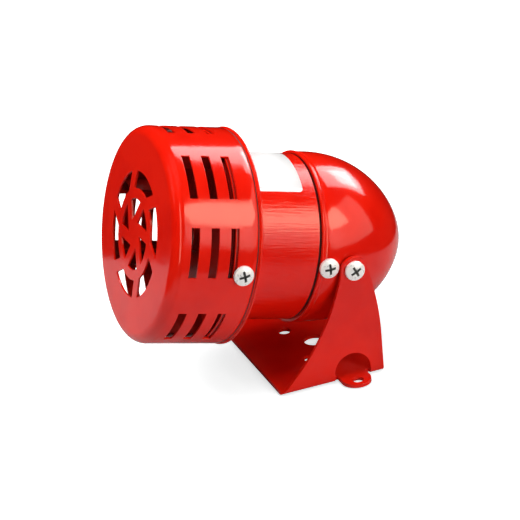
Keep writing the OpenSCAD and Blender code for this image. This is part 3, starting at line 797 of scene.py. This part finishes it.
drum()
hem()
housing()
cap()
pan()
label()
screws("drum_screws", "shell_screws", DRUM_SCREW_S, DRUM_R, DRUM_SCREW_TIP, (20, 35))
screws("dome_screws", "cap_screws", CAP_SCREW_S, CAP_R, CAP_SCREW_TIP, (15, 50))
screws("tilt_screws", "pivot_screws", PIVOT_S, HALF_W + SEAT_GAP, PIVOT_SCREW_TIP, (40, 10))
bracket()

# The rotor inside the drum takes the darker red of painted shade.
LOOKS = {
    "pivot_washers": ZINC, "pivot_nuts": ZINC, "cable_grommet": RUBBER, "motor_front_plate": ZINC,
    "motor_rear_plate": ZINC, "stator_core": CORE, "field_coils": WIRE, "through_bolts": NICKEL,
    "through_bolt_nuts": ZINC, "front_bush": BRONZE, "rear_bush": BRONZE, "brush_holders": BRASS,
    "carbon_brushes": CARBON, "brush_springs": NICKEL, "brush_caps": RESIN, "supply_leads": SLEEVE,
    "motor_shaft": NICKEL, "siren_rotor": SHADED_RED, "rotor_washer": ZINC, "rotor_nut": ZINC,
    "shaft_collar": ZINC, "armature_core": CORE, "armature_windings": WIRE, "commutator_core": RESIN,
    "commutator_segments": COPPER,
}
for name, material in LOOKS.items():
    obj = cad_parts[name]
    obj.data.materials.clear()
    obj.data.materials.append(material)


# ---------------------------------------------------------------- floor, lights, camera

CENTRE = Vector((0.0, -0.019, 0.04))
STAGE_HALF = 3.0
FLOOR_Z, BOUNCE_Z, SURROUND_Z = -0.0005, -0.0004, -0.0003
# Corners of the pale sheet that the siren stands on
PALE_SHEET = (
    (-0.227, -0.245), (0.21, -0.245), (0.172, 0.0), (0.172, 0.12), (-0.15, 0.12), (-0.16, -0.115),
)
# Kinds of ray that miss the planes that are there for light and gloss only
MISSED_BY = ("camera", "shadow", "transmission")


def toward(azimuth, elevation):
    """Unit direction; azimuth is from the front towards the right side, elevation is from the floor."""
    a, e = math.radians(azimuth), math.radians(elevation)
    return Vector((math.sin(a) * math.cos(e), -math.cos(a) * math.cos(e), math.sin(e)))


def softbox(name, seen_by, azimuth, elevation, distance, size, radiance, colour=(1, 1, 1)):
    """A flat light that faces the siren from a direction in degrees; only glossy or diffuse rays see it."""
    data = bpy.data.lights.new(name, "AREA")
    data.shape = "RECTANGLE"
    data.size, data.size_y = size
    data.energy = radiance * math.pi * size[0] * size[1]
    data.color = colour
    obj = bpy.data.objects.new(name, data)
    bpy.context.scene.collection.objects.link(obj)
    out = toward(azimuth, elevation)
    obj.location = CENTRE + out * distance
    obj.rotation_mode = "QUATERNION"
    obj.rotation_quaternion = out.to_track_quat("Z", "Y")
    obj.visible_camera = False
    obj.visible_glossy = seen_by == "glossy"
    obj.visible_diffuse = seen_by == "diffuse"


def matte(name, grey, roughness, specular, glow=0.0):
    """Plain grey surface of the studio, which may be lit from itself."""
    mat, _, p = shader(name)
    p.inputs["Base Color"].default_value = (grey, grey, grey, 1)
    p.inputs["Roughness"].default_value = roughness
    p.inputs["Specular IOR Level"].default_value = specular
    p.inputs["Emission Color"].default_value = (1, 1, 1, 1)
    p.inputs["Emission Strength"].default_value = glow
    return mat


def stage_plane(name, material, z, unseen_by, hole=()):
    """A level plane of the stage, a little below the siren and hidden from some kinds of ray."""
    bm = bmesh.new()
    if hole:
        corners = [(x * STAGE_HALF, y * STAGE_HALF) for x, y in ((-1, -1), (1, -1), (1, 1), (-1, 1))]
        fill_outline(bm, [corners, hole])
    else:
        bmesh.ops.create_grid(bm, x_segments=1, y_segments=1, size=STAGE_HALF)
    obj = new_object(name, bm, material, unit=1.0)
    obj.location.z = z
    for ray in unseen_by:
        setattr(obj, "visible_" + ray, False)


def aim_camera(azimuth, elevation, roll, distance, lens, target):
    """The camera, at a distance from its target; both are in millimetres."""
    a, t = math.radians(azimuth), math.radians(roll)
    back = toward(azimuth, elevation)
    level = Vector((math.cos(a), math.sin(a), 0))
    up = back.cross(level)
    right = level * math.cos(t) + up * math.sin(t)
    up = back.cross(right)
    data = bpy.data.cameras.new("camera")
    data.lens = lens
    data.sensor_width = 36.0
    data.clip_start, data.clip_end = 0.01, 20.0
    cam = bpy.data.objects.new("camera", data)
    bpy.context.scene.collection.objects.link(cam)
    place = Vector(target) * MM + back * distance * MM
    turn = Matrix((right, up, back)).transposed().to_4x4()
    cam.matrix_world = Matrix.Translation(place) @ turn
    bpy.context.scene.camera = cam


# The floor that the camera sees. It neither lights the siren nor shows in its gloss.
stage_plane("floor", matte("pale floor", 0.93, 0.9, 0.2, glow=0.7), FLOOR_Z, ("diffuse", "glossy"))

# A white background that gives the siren no light and no reflections.
world = bpy.data.worlds.new("studio")
bpy.context.scene.world = world
world.use_nodes = True
background = world.node_tree.nodes["Background"]
background.inputs["Color"].default_value = (1, 1, 1, 1)
background.inputs["Strength"].default_value = 1.0
world.cycles_visibility.diffuse = False
world.cycles_visibility.glossy = False

# Lights that show only in the gloss, and then lights that only light the surfaces.
softbox("right_box", "glossy", 140, 20, 1.0, (1.1, 0.80), 2.0, (1.0, 0.84, 0.70))
softbox("right_strip", "glossy", 130, 32, 0.95, (0.36, 0.34), 7.0, (1.0, 0.80, 0.58))
softbox("back_box", "glossy", -154, 37, 1.0, (0.56, 0.62), 7.0)
softbox("back_core", "glossy", -155, 33, 0.9, (0.30, 0.26), 9.0)
softbox("corner_strip", "glossy", 64, 26, 1.1, (0.22, 1.15), 5.0, (1.0, 0.80, 0.60))
softbox("overhead", "diffuse", 0, 89, 1.2, (0.9, 0.9), 5.2)
softbox("side_fill", "diffuse", 112, 13, 1.0, (0.5, 0.3), 11.5)
softbox("front_fill", "diffuse", -15, 42, 1.0, (0.5, 0.4), 10.0)
softbox("left_fill", "diffuse", -100, 22, 1.0, (0.5, 0.4), 2.4)
softbox("rear_fill", "diffuse", 175, 38, 1.0, (0.5, 0.4), 2.2)

# A greyer floor that the siren is lit by and mirrors, so that its underside stays deep red.
stage_plane("grey_bounce", matte("grey bounce", 0.42, 0.9, 0.0), BOUNCE_Z, MISSED_BY)

# The dark studio beyond the pale sheet, which shows only in the gloss.
dark = matte("dark studio", 0.008, 1.0, 0.0)
stage_plane("dark_surround", dark, SURROUND_Z, MISSED_BY + ("diffuse",), PALE_SHEET)

bpy.context.scene.view_settings.view_transform = "Standard"
aim_camera(
    azimuth=70.97, elevation=24.89, roll=-5.23, distance=1000.0, lens=186.49, target=(0.1, -19.0, 39.69),
)
